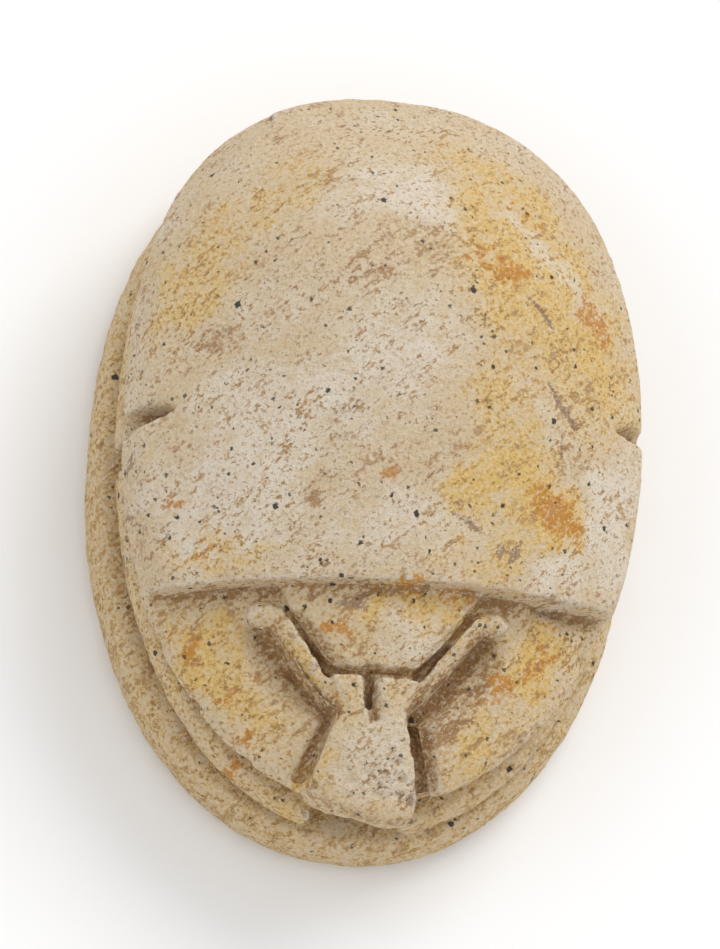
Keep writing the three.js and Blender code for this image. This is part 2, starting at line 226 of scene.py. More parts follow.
class Relief:
    """A fine mesh in millimetres, with the moves that wear and carve it."""

    def __init__(self, mesh: bpy.types.Mesh, cell: float) -> None:
        """Takes hold of a mesh.

        Args:
            mesh: A closed mesh in millimetres.
            cell: The usual length of its edges.
        """
        self.mesh = mesh
        self.cell = cell
        count = len(mesh.vertices)
        flat = np.empty(count * 3)
        mesh.vertices.foreach_get("co", flat)
        self.points = flat.reshape(-1, 3)
        pairs = np.empty(len(mesh.edges) * 2, dtype=np.int64)
        mesh.edges.foreach_get("vertices", pairs)
        pairs = pairs.reshape(-1, 2)
        self.here = np.concatenate([pairs[:, 0], pairs[:, 1]])
        self.there = np.concatenate([pairs[:, 1], pairs[:, 0]])
        self.valence = np.bincount(self.here, minlength=count).astype(float)

    def around(self, values: np.ndarray) -> np.ndarray:
        """The mean of each point's neighbours, for one value or one row a point."""
        if values.ndim == 1:
            return np.bincount(self.here, values[self.there], len(self.valence)) / self.valence
        return np.stack([self.around(values[:, axis]) for axis in range(values.shape[1])], axis=1)

    def rounds(self, reach: float) -> int:
        """How many half-way averages with the neighbours blur over a reach in millimetres."""
        return max(1, round((2.0 * reach / self.cell) ** 2))

    def spread(self, values: np.ndarray, rounds: int) -> np.ndarray:
        """Values after they have been averaged with their neighbours several times."""
        for _ in range(rounds):
            values = 0.5 * values + 0.5 * self.around(values)
        return values

    def normals(self) -> np.ndarray:
        """Outward unit normals, one a point."""
        self.write()
        flat = np.empty(len(self.points) * 3, dtype=np.float32)
        self.mesh.vertex_normals.foreach_get("vector", flat)
        return flat.reshape(-1, 3).astype(float)

    def write(self) -> None:
        """Stores the points in the mesh."""
        self.mesh.vertices.foreach_set("co", self.points.ravel())
        self.mesh.update()

    def relax(self, weight: np.ndarray, reach: float) -> None:
        """Softens the surface towards its neighbours.

        Args:
            weight: How strongly each point is softened, from 0 to 1.
            reach: How wide the softening is where the weight is 1, in millimetres.
        """
        moving = np.flatnonzero(weight > 0.001)
        slot = np.full(len(self.points), -1, dtype=np.int64)
        slot[moving] = np.arange(len(moving))
        chosen = slot[self.here] >= 0
        here, there = slot[self.here[chosen]], self.there[chosen]
        share = 0.5 * weight[moving][:, None]
        valence = self.valence[moving][:, None]
        for _ in range(self.rounds(reach)):
            near = self.points[there]
            sums = np.stack([np.bincount(here, near[:, axis], len(moving)) for axis in range(3)], axis=1)
            self.points[moving] += share * (sums / valence - self.points[moving])

    def push(self, amount: np.ndarray) -> None:
        """Moves each point along its normal.

        Args:
            amount: Millimetres outwards, one a point.
        """
        self.points += self.normals() * amount[:, None]

    def dent(
        self, centre: np.ndarray, inward: np.ndarray, radius: float, depth: float, ragged: np.ndarray
    ) -> None:
        """Knocks a small hollow into the surface.

        Args:
            centre: The middle of the hollow.
            inward: The unit direction that the surface moves in.
            radius: How far it reaches.
            depth: How deep it is at the middle.
            ragged: A noise value a point, which makes the outline uneven.
        """
        near = np.flatnonzero(np.abs(self.points - centre).max(axis=1) < radius * 1.6)
        away = np.linalg.norm(self.points[near] - centre, axis=1) * (1.0 + 0.6 * ragged[near])
        self.points[near] += inward * (depth * smoothstep(away, radius, radius * 0.25))[:, None]

    def bulges(self, *reaches: float) -> list[np.ndarray]:
        """How far each point stands out from its surroundings.

        Args:
            reaches: How widely the surroundings are averaged, in millimetres, from narrow to wide.

        Returns:
            For each reach, millimetres a point: positive on ridges and negative in grooves.
        """
        normals = self.normals()
        blurred, done, found = self.points, 0, []
        for reach in reaches:
            blurred = self.spread(blurred, self.rounds(reach) - done)
            done = self.rounds(reach)
            found.append(((self.points - blurred) * normals).sum(axis=1))
        return found

    def paint(self, tint: Tint, values: np.ndarray) -> None:
        """Stores a tint's share of every point as an attribute."""
        layer = self.mesh.attributes.new(tint.value, "FLOAT", "POINT")
        layer.data.foreach_set("value", np.clip(values, 0.0, 1.0).astype(np.float32))


# ---------------------------------------------------------------- the stone


@dataclass
class WornStone:
    """The amulet's one piece: its carving worn, chipped and stained. Lengths are in millimetres."""

    layout: Layout = Layout()
    cell: float = 0.056
    weld: float = 1e-4
    most_triangles: int = 197_000
    seed: int = 7

    edge_softness: float = 0.05
    dome_softness: float = 0.5
    head_softness: float = 0.15
    lip_softness: float = 0.15
    front_softness: float = 0.12
    cut_softness: float = 0.045
    notches: tuple[tuple[float, float], ...] = ((-5.45, 0.55), (5.6, 1.05))
    lip_behind_notch: float = 0.17

    facet_foot: float = 3.98
    facet_slope: float = 13.7
    facet_lowest: float = 4.0
    facet_inner_x: float = -3.0

    bowl_y: float = -4.5
    bowl_half_size: tuple[float, float] = (2.0, 1.1)
    bowl_swell: float = 0.1

    waves: Unevenness = Unevenness(0.028, (0.4, 0.4, 0.4), 2, 3.1)
    lumps: Unevenness = Unevenness(0.009, (1.7, 1.7, 1.7), 3, 11.7)
    grain: Unevenness = Unevenness(0.006, (5.2, 5.2, 5.2), 3, 23.9)
    tool_marks: Unevenness = Unevenness(0.008, (0.5, 3.2, 1.0), 2, 40.3)
    tool_turn: float = 42.0

    chips: int = 300
    chip_radii: tuple[float, float] = (0.07, 0.24)
    chip_depths: tuple[float, float] = (0.15, 0.4)
    chip_shrink: float = 0.7
    chip_shrink_above: float = 4.8
    pits: int = 60
    pit_middle: tuple[float, float] = (0.6, -8.0)
    pit_spread: tuple[float, float] = (0.5, 0.35)
    pit_radii: tuple[float, float] = (0.06, 0.13)
    pit_depths: tuple[float, float] = (0.02, 0.06)
    scar_wander: float = 0.06

    stain_wander: float = 0.55
    stain_shifts: tuple[float, float] = (71.0, 83.0)
    bulge_reaches: tuple[float, float, float] = (0.09, 0.22, 0.5)

    def build(self, source: bpy.types.Object) -> bpy.types.Object:
        """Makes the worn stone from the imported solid.

        Args:
            source: The solid's object, which is only read.

        Returns:
            The new piece, in metres, with its attributes painted.
        """
        relief = Relief(self.fine_copy(source), self.cell)
        LOG.info("fine copy: %d points", len(relief.points))
        self.soften(relief)
        self.shape_head(relief)
        self.roughen(relief)
        self.chip(relief)
        self.keep_inside(relief)
        relief.write()
        self.stain(relief)
        return self.finish(relief.mesh)

    def fine_copy(self, source: bpy.types.Object) -> bpy.types.Mesh:
        """Remeshes a merged copy of the solid in millimetres, in even small faces."""
        form = bmesh.new()
        form.from_mesh(source.data)
        bmesh.ops.remove_doubles(form, verts=form.verts, dist=MM * self.weld)
        bmesh.ops.scale(form, vec=Vector((1.0, 1.0, 1.0)) / MM, verts=form.verts)
        rough = bpy.data.meshes.new("scarab_rough")
        form.to_mesh(rough)
        form.free()
        return self.modified(rough, "REMESH", {"mode": "VOXEL", "voxel_size": self.cell})

    @staticmethod
    def modified(mesh: bpy.types.Mesh, kind: str, settings: dict[str, object]) -> bpy.types.Mesh:
        """A mesh as one modifier leaves it.

        Args:
            mesh: The mesh to work on, which is removed.
            kind: The modifier's type.
            settings: Its properties by name.

        Returns:
            The new mesh.
        """
        holder = bpy.data.objects.new("scarab_work", mesh)
        bpy.context.scene.collection.objects.link(holder)
        modifier = holder.modifiers.new("work", kind)
        for name, value in settings.items():
            setattr(modifier, name, value)
        scene_graph = bpy.context.evaluated_depsgraph_get()
        result = bpy.data.meshes.new_from_object(holder.evaluated_get(scene_graph))
        bpy.data.objects.remove(holder)
        bpy.data.meshes.remove(mesh)
        return result

    def soften(self, relief: Relief) -> None:
        """Rounds every edge a little, and takes the facets out of the domes."""
        points = relief.points
        relief.relax(np.ones(len(points)), self.edge_softness)
        facing_up = relief.normals()[:, 2]
        from_step = -self.layout.before_step(points)
        dome = smoothstep(from_step, 0.2, 0.8)
        dome *= smoothstep(self.layout.back_share(points), 0.985, 0.92)
        dome *= smoothstep(facing_up, 0.25, 0.5) * smoothstep(points[:, 2], 4.4, 4.7)
        for x, y in self.notches:
            dome *= smoothstep(np.hypot(points[:, 0] - x, (points[:, 1] - y) * 1.6), 0.9, 1.5)
        relief.relax(dome, self.dome_softness)
        head = smoothstep(-from_step, 0.1, 0.3)
        head *= smoothstep(np.abs(self.layout.above_head(points)), 0.1, 0.03)
        relief.relax(head, self.head_softness)
        tail_lip = np.zeros(len(points))
        for x, y in self.notches:
            from_lip = points[:, 1] - y - self.lip_behind_notch
            lip = smoothstep(np.hypot((points[:, 0] - x) * 0.8, from_lip), 0.7, 0.25)
            tail_lip = np.maximum(tail_lip, lip * smoothstep(points[:, 2], 4.3, 4.7))
        relief.relax(tail_lip, self.lip_softness)
        self.plane_left_rim(relief)

    def plane_left_rim(self, relief: Relief) -> None:
        """Planes a narrow facet along the left rim of the back, which fades out behind the notch."""
        points = relief.points
        limit = self.facet_foot + self.facet_slope * (1.0 - self.layout.back_share(points))
        limit += 0.1 * smoothstep(points[:, 1], 0.3, 1.4) + 0.9 * smoothstep(points[:, 1], 1.8, 4.5)
        planed = (points[:, 0] < self.facet_inner_x) & (points[:, 2] > self.facet_lowest)
        planed &= self.layout.before_step(points) < 0.0
        limit = np.maximum(limit[planed], self.facet_lowest)
        points[planed, 2] = np.minimum(points[planed, 2], limit)

    def shape_head(self, relief: Relief) -> None:
        """Swells the bowl, rounds the front of the clypeus, and deepens the carved lines."""
        points = relief.points
        before = self.layout.before_step(points)
        front = smoothstep(-points[:, 1], 7.7, 8.3) * smoothstep(np.abs(points[:, 0]), 1.7, 1.2)
        relief.relax(front * smoothstep(points[:, 2], 3.2, 3.5), self.front_softness)
        half_across, half_along = self.bowl_half_size
        from_bowl = np.hypot(points[:, 0] / half_across, (points[:, 1] - self.bowl_y) / half_along)
        relief.push(self.bowl_swell * smoothstep(from_bowl, 1.0, 0.0) * smoothstep(before, 0.1, 0.5))
        facing_up = smoothstep(relief.normals()[:, 2], 0.0, 0.3)
        facing_up *= smoothstep(points[:, 2], 3.3, 3.5)
        carved = np.zeros(len(points))
        for cut in HEAD_CUTS:
            reach = cut.weight(points) * facing_up * smoothstep(before, 0.0, 0.15)
            points[:, 2] -= cut.depth * reach
            carved = np.maximum(carved, reach)
        relief.relax(smoothstep(carved, 0.0, 0.4), self.cut_softness)

    def roughen(self, relief: Relief) -> None:
        """Gives the surface its hand-made unevenness, tool marks and grain."""
        points = relief.points
        turn = math.radians(self.tool_turn)
        along = points[:, 0] * math.cos(turn) + points[:, 1] * math.sin(turn)
        across = points[:, 1] * math.cos(turn) - points[:, 0] * math.sin(turn)
        marks = self.tool_marks.field(np.stack([along, across, points[:, 2]], axis=1))
        lower = smoothstep(points[:, 2], self.layout.rim_z, self.layout.rim_z - 0.6)
        in_front = smoothstep(self.layout.before_step(points), 0.0, 0.2)
        lumps = self.lumps.field(points) * (1.0 + 1.5 * np.maximum(lower, in_front))
        grain = self.grain.field(points) * (1.0 + lower)
        above_floor = smoothstep(points[:, 2], 0.02, 0.25)
        relief.push(above_floor * (self.waves.field(points) + lumps + grain + marks))

    def chip(self, relief: Relief) -> None:
        """Knocks chips out of the edges, pits into the clypeus, and cuts the scars on the back."""
        chance = np.random.default_rng(self.seed)
        ragged = fractal_field(relief.points, (4.5, 4.5, 4.5), 2, 57.0)
        normals = relief.normals()
        points = relief.points.copy()
        edge = smoothstep(relief.bulges(0.1)[0], 0.012, 0.04) * smoothstep(points[:, 2], 0.6, 1.2)
        back_edge = smoothstep(self.layout.before_step(points), -0.35, 0.0)
        weight = edge * (0.2 + 0.8 * back_edge + 0.6 * (points[:, 2] < 3.4))
        for index in chance.choice(len(points), self.chips, replace=False, p=weight / weight.sum()):
            shrink = self.chip_shrink if points[index, 2] > self.chip_shrink_above else 1.0
            radius = chance.uniform(*self.chip_radii) * shrink
            depth = radius * chance.uniform(*self.chip_depths)
            relief.dent(points[index], -normals[index], radius, depth, ragged)
        for _ in range(self.pits):
            x = self.pit_middle[0] + self.pit_spread[0] * chance.normal()
            y = self.pit_middle[1] + self.pit_spread[1] * chance.normal()
            pit = np.argmin(np.hypot(points[:, 0] - x, points[:, 1] - y) - 0.2 * points[:, 2])
            radius, depth = chance.uniform(*self.pit_radii), chance.uniform(*self.pit_depths)
            relief.dent(points[pit], -normals[pit], radius, depth, ragged)
        for cut in SCARS:
            high = smoothstep(relief.points[:, 2], 4.6, 4.9)
            wandering = relief.points + self.scar_wander * ragged[:, None]
            relief.push(-cut.depth * high * cut.weight(wandering))

    def keep_inside(self, relief: Relief) -> None:
        """Holds the surface inside the solid's own box and leaves the underside flat."""
        low, high = (np.array(corner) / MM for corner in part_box("scarab"))
        relief.points = np.clip(relief.points, low, high)

    def stain(self, relief: Relief) -> None:
        """Paints where the stains, the dirt, the painted shade and the worn edges lie."""
        points = relief.points
        warp = self.stain_wander * np.stack(
            [fractal_field(points, (0.9, 0.9, 0.9), 4, shift) for shift in self.stain_shifts], axis=1
        )
        patches = {tint: np.zeros(len(points)) for tint in Tint}
        for patch in STAINS:
            layer = patches[patch.tint]
            np.maximum(layer, patch.weight(points, warp), out=layer)
        for cut in SCARS:
            scar = cut.dirt_and_shade * cut.weight(points, 0.03)
            patches[Tint.PLUM] = np.maximum(patches[Tint.PLUM], scar)
        self.stain_by_form(relief, patches, warp)
        for tint, values in patches.items():
            relief.paint(tint, values)

    def stain_by_form(self, relief: Relief, patches: dict[Tint, np.ndarray], warp: np.ndarray) -> None:
        """Adds the tints that follow the carving: dirt with painted shade in hollows, cut lines, steep
        faces and at the step's foot, umber and ochre on the plinth and legs, and the worn edges.

        Args:
            relief: The carved surface.
            patches: Each tint's share of every point, which is added to.
            warp: A shift of each point in plan, which makes outlines ragged.
        """
        points = relief.points
        before = self.layout.before_step(points)
        low = self.layout.on_low_parts(points)
        in_front = smoothstep(before, -0.12, 0.1) * (1.0 - low)
        near, wide, far = relief.bulges(*self.bulge_reaches)
        # Earth brown in hollows, from how far each point lies below its surroundings: dirt with painted
        # shade.
        crevice = 0.7 * smoothstep(-near, 0.004, 0.03) + smoothstep(-wide, 0.01, 0.09)
        crevice = relief.spread(crevice + smoothstep(-far, 0.05, 0.35), 2)
        # The head's cut lines are darkened too: dirt with painted shade in the grooves.
        for cut in HEAD_CUTS:
            dirt_and_shade = cut.dirt_and_shade * in_front * cut.weight(points[:, :2] + 0.3 * warp, 0.06)
            crevice = np.maximum(crevice, dirt_and_shade)
        patches[Tint.CREVICE] = crevice
        patches[Tint.WORN] = smoothstep(near, 0.004, 0.03) + 0.5 * smoothstep(wide, 0.03, 0.14)
        # Painted shade with brown dirt: steep faces in front of the step, and the band at the step's foot,
        # get more of the umber share.
        steep = smoothstep(relief.normals()[:, 2], 0.75, 0.3)
        foot = in_front * smoothstep(before, 0.75, 0.15)
        for tint, share in (
            (Tint.UMBER, 0.36 * low),
            (Tint.UMBER, 0.5 * foot),
            (Tint.UMBER, np.maximum(0.22, 0.65 * steep) * in_front),
            (Tint.OCHRE, 0.5 * low),
            (Tint.OCHRE, 0.4 * in_front),
        ):
            patches[tint] = np.maximum(patches[tint], share)

    def finish(self, mesh: bpy.types.Mesh) -> bpy.types.Object:
        """Thins the mesh where it is smooth, and turns it into a piece in metres."""
        triangles = sum(len(face.vertices) - 2 for face in mesh.polygons)
        ratio = min(1.0, self.most_triangles / triangles)
        thinned = self.modified(mesh, "DECIMATE", {"ratio": ratio})
        thinned.transform(Matrix.Scale(MM, 4))
        thinned.shade_smooth()
        thinned.name = "worn_scarab"
        piece = bpy.data.objects.new("worn_scarab", thinned)
        bpy.context.scene.collection.objects.link(piece)
        return piece


HEAD_CUTS = (
    # between the left arm and the bowl
    Cut(((-1.95, -4.54), (-1.58, -4.95), (-1.2, -5.36), (-0.85, -5.58)), 0.21, 0.17, 0.8),
    # outside the left arm, down to the clypeus
    Cut(((-2.67, -4.76), (-1.96, -5.44), (-1.41, -6.11), (-0.9, -6.64)), 0.42, 0.12, 0.3),
    Cut(((-1.85, -5.6), (-1.33, -6.18), (-0.92, -6.58)), 0.15, 0.13, 0.8),
    # between the right arm and the bowl
    Cut(((2.14, -4.05), (1.74, -4.51), (1.35, -4.98), (0.89, -5.52)), 0.16, 0.14, 0.5),
    # outside the right arm and beside the clypeus
    Cut(((2.4, -4.61), (1.9, -5.25), (1.45, -5.9), (1.1, -6.2), (0.86, -6.5)), 0.42, 0.22, 0.65),
    Cut(((0.98, -6.45), (1.2, -6.93), (1.42, -7.88)), 0.34, 0.16, 0.8),
    # the slot in the clypeus, and the lip under the bowl
    Cut(((-0.18, -5.75), (-0.04, -6.69)), 0.19, 0.24, 0.9),
    Cut(((-0.7, -5.62), (0.51, -5.57)), 0.09, 0.1, 0.9),
)

SCARS = (
    Cut(((3.45, 1.25), (3.7, 0.9), (4.2, 0.42)), 0.12, 0.05),
    Cut(((2.86, 3.2), (3.2, 2.95), (3.5, 2.6)), 0.09, 0.04),
    Cut(((3.1, 0.3), (3.85, 0.22)), 0.04, 0.03, 0.6),
    Cut(((3.85, 0.22), (3.88, -0.4)), 0.04, 0.03, 0.6),
)

STAINS = (
    # pale, rubbed ground
    Stain(Tint.PALE, -3.7, -1.6, 2.4, 1.5, 40),
    Stain(Tint.PALE, -3.4, 0.6, 2.0, 1.1, 40, 0.9),
    Stain(Tint.PALE, -4.0, -2.7, 1.8, 0.7, 0, 0.9),
    Stain(Tint.PALE, -0.6, 1.0, 2.4, 1.6, 30, 0.9),
    Stain(Tint.PALE, -0.4, 5.4, 1.9, 1.1, 20, 1.0),
    Stain(Tint.PALE, 5.3, -1.5, 2.2, 0.8, 75, 1.0),
    Stain(Tint.PALE, 4.2, -3.0, 1.6, 0.6, 10, 0.8),
    Stain(Tint.PALE, 0.2, -2.6, 3.2, 0.9, 0, 0.7),
    Stain(Tint.PALE, 3.0, 4.9, 1.5, 0.35, -38, 1.0),
    Stain(Tint.PALE, 4.2, 3.6, 1.2, 0.4, -50, 0.9),
    Stain(Tint.PALE, 3.1, 0.5, 1.4, 0.35, -30, 0.7),
    Stain(Tint.PALE, 0.5, -5.0, 1.2, 0.6, 0, 0.7),
    Stain(Tint.PALE, 0.0, -7.6, 1.3, 1.3, 0, 1.0),
    # ochre, over the right shoulder and across the pronotum
    Stain(Tint.OCHRE, 3.2, 3.6, 5.0, 2.4, -52, 0.8),
    Stain(Tint.OCHRE, 2.4, 6.0, 2.4, 1.1, -25, 0.7),
    Stain(Tint.OCHRE, 4.6, 2.6, 2.4, 0.9, -68, 0.9),
    Stain(Tint.OCHRE, 2.6, 0.2, 2.6, 1.5, -50, 0.6),
    Stain(Tint.OCHRE, 2.4, -1.2, 2.2, 1.0, 45, 0.95),
    Stain(Tint.OCHRE, 3.6, -1.8, 1.4, 1.2, -30, 1.0),
    Stain(Tint.OCHRE, 2.2, -2.8, 1.8, 0.8, 10, 0.8),
    Stain(Tint.OCHRE, -4.6, 3.4, 2.6, 1.1, 70, 0.6),
    Stain(Tint.OCHRE, -3.0, 5.4, 2.2, 0.9, 40, 0.5),
    Stain(Tint.OCHRE, -4.0, -3.2, 1.8, 0.5, 0, 0.6),
    Stain(Tint.OCHRE, -3.9, -5.2, 1.3, 1.0, -50, 0.95),
    Stain(Tint.OCHRE, -2.9, -6.4, 1.6, 0.8, -50, 0.8),
    Stain(Tint.OCHRE, 0.6, -4.2, 2.6, 0.5, 0, 0.9),
    Stain(Tint.OCHRE, 3.7, -4.8, 1.5, 1.1, 60, 0.95),
    Stain(Tint.OCHRE, 2.4, -6.8, 1.6, 0.8, 50, 0.8),
    Stain(Tint.OCHRE, 1.5, -4.8, 1.3, 0.2, 52, 0.9),
    Stain(Tint.OCHRE, -1.6, -5.6, 1.2, 0.3, -52, 0.7),
    Stain(Tint.OCHRE, -1.4, -8.0, 0.9, 0.4, 55, 0.8),
    # rust spots
    Stain(Tint.RUST, 3.95, -1.8, 0.9, 0.6, -60, 1.0),
    Stain(Tint.RUST, 3.2, -1.4, 1.0, 0.35, -40, 0.6),
    Stain(Tint.RUST, 2.2, 3.9, 1.2, 0.4, 0, 0.9),
    Stain(Tint.RUST, 4.7, 3.1, 1.0, 0.4, -70, 0.8),
    Stain(Tint.RUST, 2.7, 5.6, 0.6, 0.3, 20, 0.5),
    Stain(Tint.RUST, -4.83, -2.0, 0.22, 0.17, 0, 1.0),
    Stain(Tint.RUST, -4.0, -3.1, 0.7, 0.2, 20, 0.5),
    Stain(Tint.RUST, -0.5, -1.5, 0.25, 0.35, 0, 0.7),
    Stain(Tint.RUST, -1.1, -4.95, 0.42, 0.26, 0, 1.0),
    Stain(Tint.RUST, 1.2, -3.9, 1.7, 0.18, -4, 1.0),
    Stain(Tint.RUST, 1.1, -5.35, 0.5, 0.12, 52, 0.9),
    Stain(Tint.RUST, -4.2, -5.1, 0.5, 0.4, 0, 1.0),
    Stain(Tint.RUST, -3.4, -6.1, 0.4, 0.25, 0, 0.8),
    Stain(Tint.RUST, -1.1, -6.5, 0.25, 0.2, -50, 0.9),
    Stain(Tint.RUST, 4.2, -4.0, 0.6, 0.3, 0, 0.9),
    Stain(Tint.RUST, 3.0, -5.6, 0.6, 0.4, 30, 1.0),
    Stain(Tint.RUST, 3.9, -4.9, 0.6, 0.4, 0, 0.7),
    Stain(Tint.RUST, -3.0, -7.4, 0.4, 0.3, 0, 1.0, 1.8),
    # brown dirt, and brown painted shade beside the head's arms
    Stain(Tint.UMBER, -0.2, 3.8, 2.6, 1.2, 10, 0.45),
    Stain(Tint.UMBER, -2.3, 5.6, 1.4, 0.3, 20, 0.5),
    Stain(Tint.UMBER, -4.2, 1.5, 0.8, 0.5, 40, 0.6),
    Stain(Tint.UMBER, -1.6, -1.7, 0.9, 0.4, 50, 0.7),
    Stain(Tint.UMBER, -1.3, 0.0, 1.8, 0.7, 60, 0.4),
    Stain(Tint.UMBER, 0.1, 2.1, 0.7, 0.7, 60, 0.4),
    Stain(Tint.UMBER, 4.2, 1.6, 1.6, 0.8, -60, 0.4),
    Stain(Tint.UMBER, 4.3, -0.6, 0.8, 0.5, -40, 0.4),
    # Painted shade with brown dirt on the left plate beside the left arm.
    Stain(Tint.UMBER, -2.5, -5.2, 1.3, 0.7, -45, 0.55),
    # Painted shade with brown dirt on the right plate beside the right arm.
    Stain(Tint.UMBER, 1.9, -5.7, 1.6, 1.2, 40, 0.8),
    Stain(Tint.UMBER, 1.4, -6.6, 0.8, 0.7, 60, 0.8),
    # purplish lumps and scars, and purplish painted shade on the left facet and beside the right arm
    Stain(Tint.PLUM, 2.99, -1.45, 0.24, 0.18, 0, 1.0),
    Stain(Tint.PLUM, 1.6, -2.15, 0.42, 0.22, -20, 0.9),
    Stain(Tint.PLUM, 2.5, -2.85, 0.2, 0.15, 0, 0.9),
    Stain(Tint.PLUM, -0.9, -4.0, 0.7, 0.25, 0, 0.9),
    Stain(Tint.PLUM, 0.8, -8.1, 0.6, 0.45, 10, 0.75),
    # Purplish painted shade on the right plate beside the right arm.
    Stain(Tint.PLUM, 2.0, -6.0, 1.3, 1.0, 30, 0.5),
    # Grey-purple on the planed left facet: partly the stone's tone, partly painted shade.
    Stain(Tint.PLUM, -5.72, -2.0, 2.2, 0.24, -77, 0.5),
    # black specks stand thicker here
    Stain(Tint.SOOT, -5.6, -2.4, 2.1, 0.35, -75, 1.0),
    Stain(Tint.SOOT, -5.2, 4.2, 1.6, 0.3, 65, 0.8),
    Stain(Tint.SOOT, -2.4, -2.9, 2.6, 0.8, 5, 0.5),
    Stain(Tint.SOOT, -4.9, -5.6, 1.4, 0.24, -62, 1.0),
    Stain(Tint.SOOT, -3.6, -7.1, 1.2, 0.24, -45, 0.8),
    Stain(Tint.SOOT, 0.3, -8.2, 1.0, 0.45, 0, 0.9),
    Stain(Tint.SOOT, 3.2, -7.0, 1.6, 0.3, 42, 0.8),
    Stain(Tint.SOOT, -2.7, -4.5, 0.35, 0.3, 0, 1.0),
    Stain(Tint.SOOT, 2.3, -4.3, 0.35, 0.25, 0, 1.0),
    Stain(Tint.SOOT, 1.2, -1.0, 1.6, 0.6, 40, 0.4),
)


# ---------------------------------------------------------------- shader maths


class Value:
    """A number that varies over a surface, held as a shader socket."""

    def __init__(self, graph: "Graph", socket: bpy.types.NodeSocket) -> None:
        """Wraps a socket of a graph."""
        self.graph = graph
        self.socket = socket

    def __add__(self, other: "Value | float") -> "Value":
        """The sum."""
        return self.graph.maths("ADD", self, other)

    __radd__ = __add__

    def __mul__(self, other: "Value | float") -> "Value":
        """The product."""
        return self.graph.maths("MULTIPLY", self, other)

    __rmul__ = __mul__

    def __sub__(self, other: "Value | float") -> "Value":
        """The difference."""
        return self.graph.maths("SUBTRACT", self, other)

    def __rsub__(self, other: float) -> "Value":
        """The difference from a number."""
        return self.graph.maths("SUBTRACT", other, self)


class Graph:
    """A material's node tree, built from Python expressions."""

    def __init__(self, name: str) -> None:
        """Makes an empty material.

        Args:
            name: The material's name.
        """
        self.material = bpy.data.materials.new(name)
        self.material.use_nodes = True
        self.tree = self.material.node_tree
        self.tree.nodes.clear()

    def node(self, kind: str, settings: dict[str, object], inputs: dict[str, object]) -> bpy.types.Node:
        """Adds a node.

        Args:
            kind: The node's type.
            settings: Its own properties, which are set first.
            inputs: A value, a Value or a socket for each input, by identifier or name.

        Returns:
            The node.
        """
        made = self.tree.nodes.new(kind)
        for name, value in settings.items():
            setattr(made, name, value)
        sockets = {socket.name: socket for socket in reversed(made.inputs)}
        sockets |= {socket.identifier: socket for socket in made.inputs}
        for name, value in inputs.items():
            if isinstance(value, Value):
                value = value.socket
            if isinstance(value, bpy.types.NodeSocket):
                self.tree.links.new(value, sockets[name])
            else:
                sockets[name].default_value = value
        return made

    def maths(self, operation: str, first: "Value | float", second: "Value | float") -> Value:
        """A Math node's result."""
        made = self.node("ShaderNodeMath", {"operation": operation}, {"Value": first, "Value_001": second})
        return Value(self, made.outputs[0])

    def step(self, value: Value, low: float, high: float) -> Value:
        """Rises smoothly from 0 at low to 1 at high."""
        settings = {"interpolation_type": "SMOOTHSTEP"}
        inputs = {"Value": value, "From Min": low, "From Max": high}
        return Value(self, self.node("ShaderNodeMapRange", settings, inputs).outputs[0])

    def attribute(self, tint: Tint) -> Value:
        """The share of a tint that is painted on the mesh."""
        made = self.node("ShaderNodeAttribute", {"attribute_name": tint.value}, {})
        return Value(self, made.outputs["Fac"])

    def blend(self, first: object, second: object, share: Value) -> bpy.types.NodeSocket:
        """A colour between two colours.

        Args:
            first: The colour, or its socket, where the share is 0.
            second: The colour where the share is 1.
            share: How much of the second colour there is.

        Returns:
            The mixed colour's socket.
        """
        settings = {"data_type": "RGBA", "blend_type": "MIX", "clamp_factor": True}
        inputs = {"Factor_Float": share, "A_Color": first, "B_Color": second}
        outputs = self.node("ShaderNodeMix", settings, inputs).outputs
        return next(socket for socket in outputs if socket.identifier == "Result_Color")


class Grain(Enum):
    """The sizes of the finish's noise, from broad to dust-fine."""

    BROAD = "broad"
    MOTTLE = "mottle"
    FLECK = "fleck"
    FINE = "fine"
    DUST = "dust"


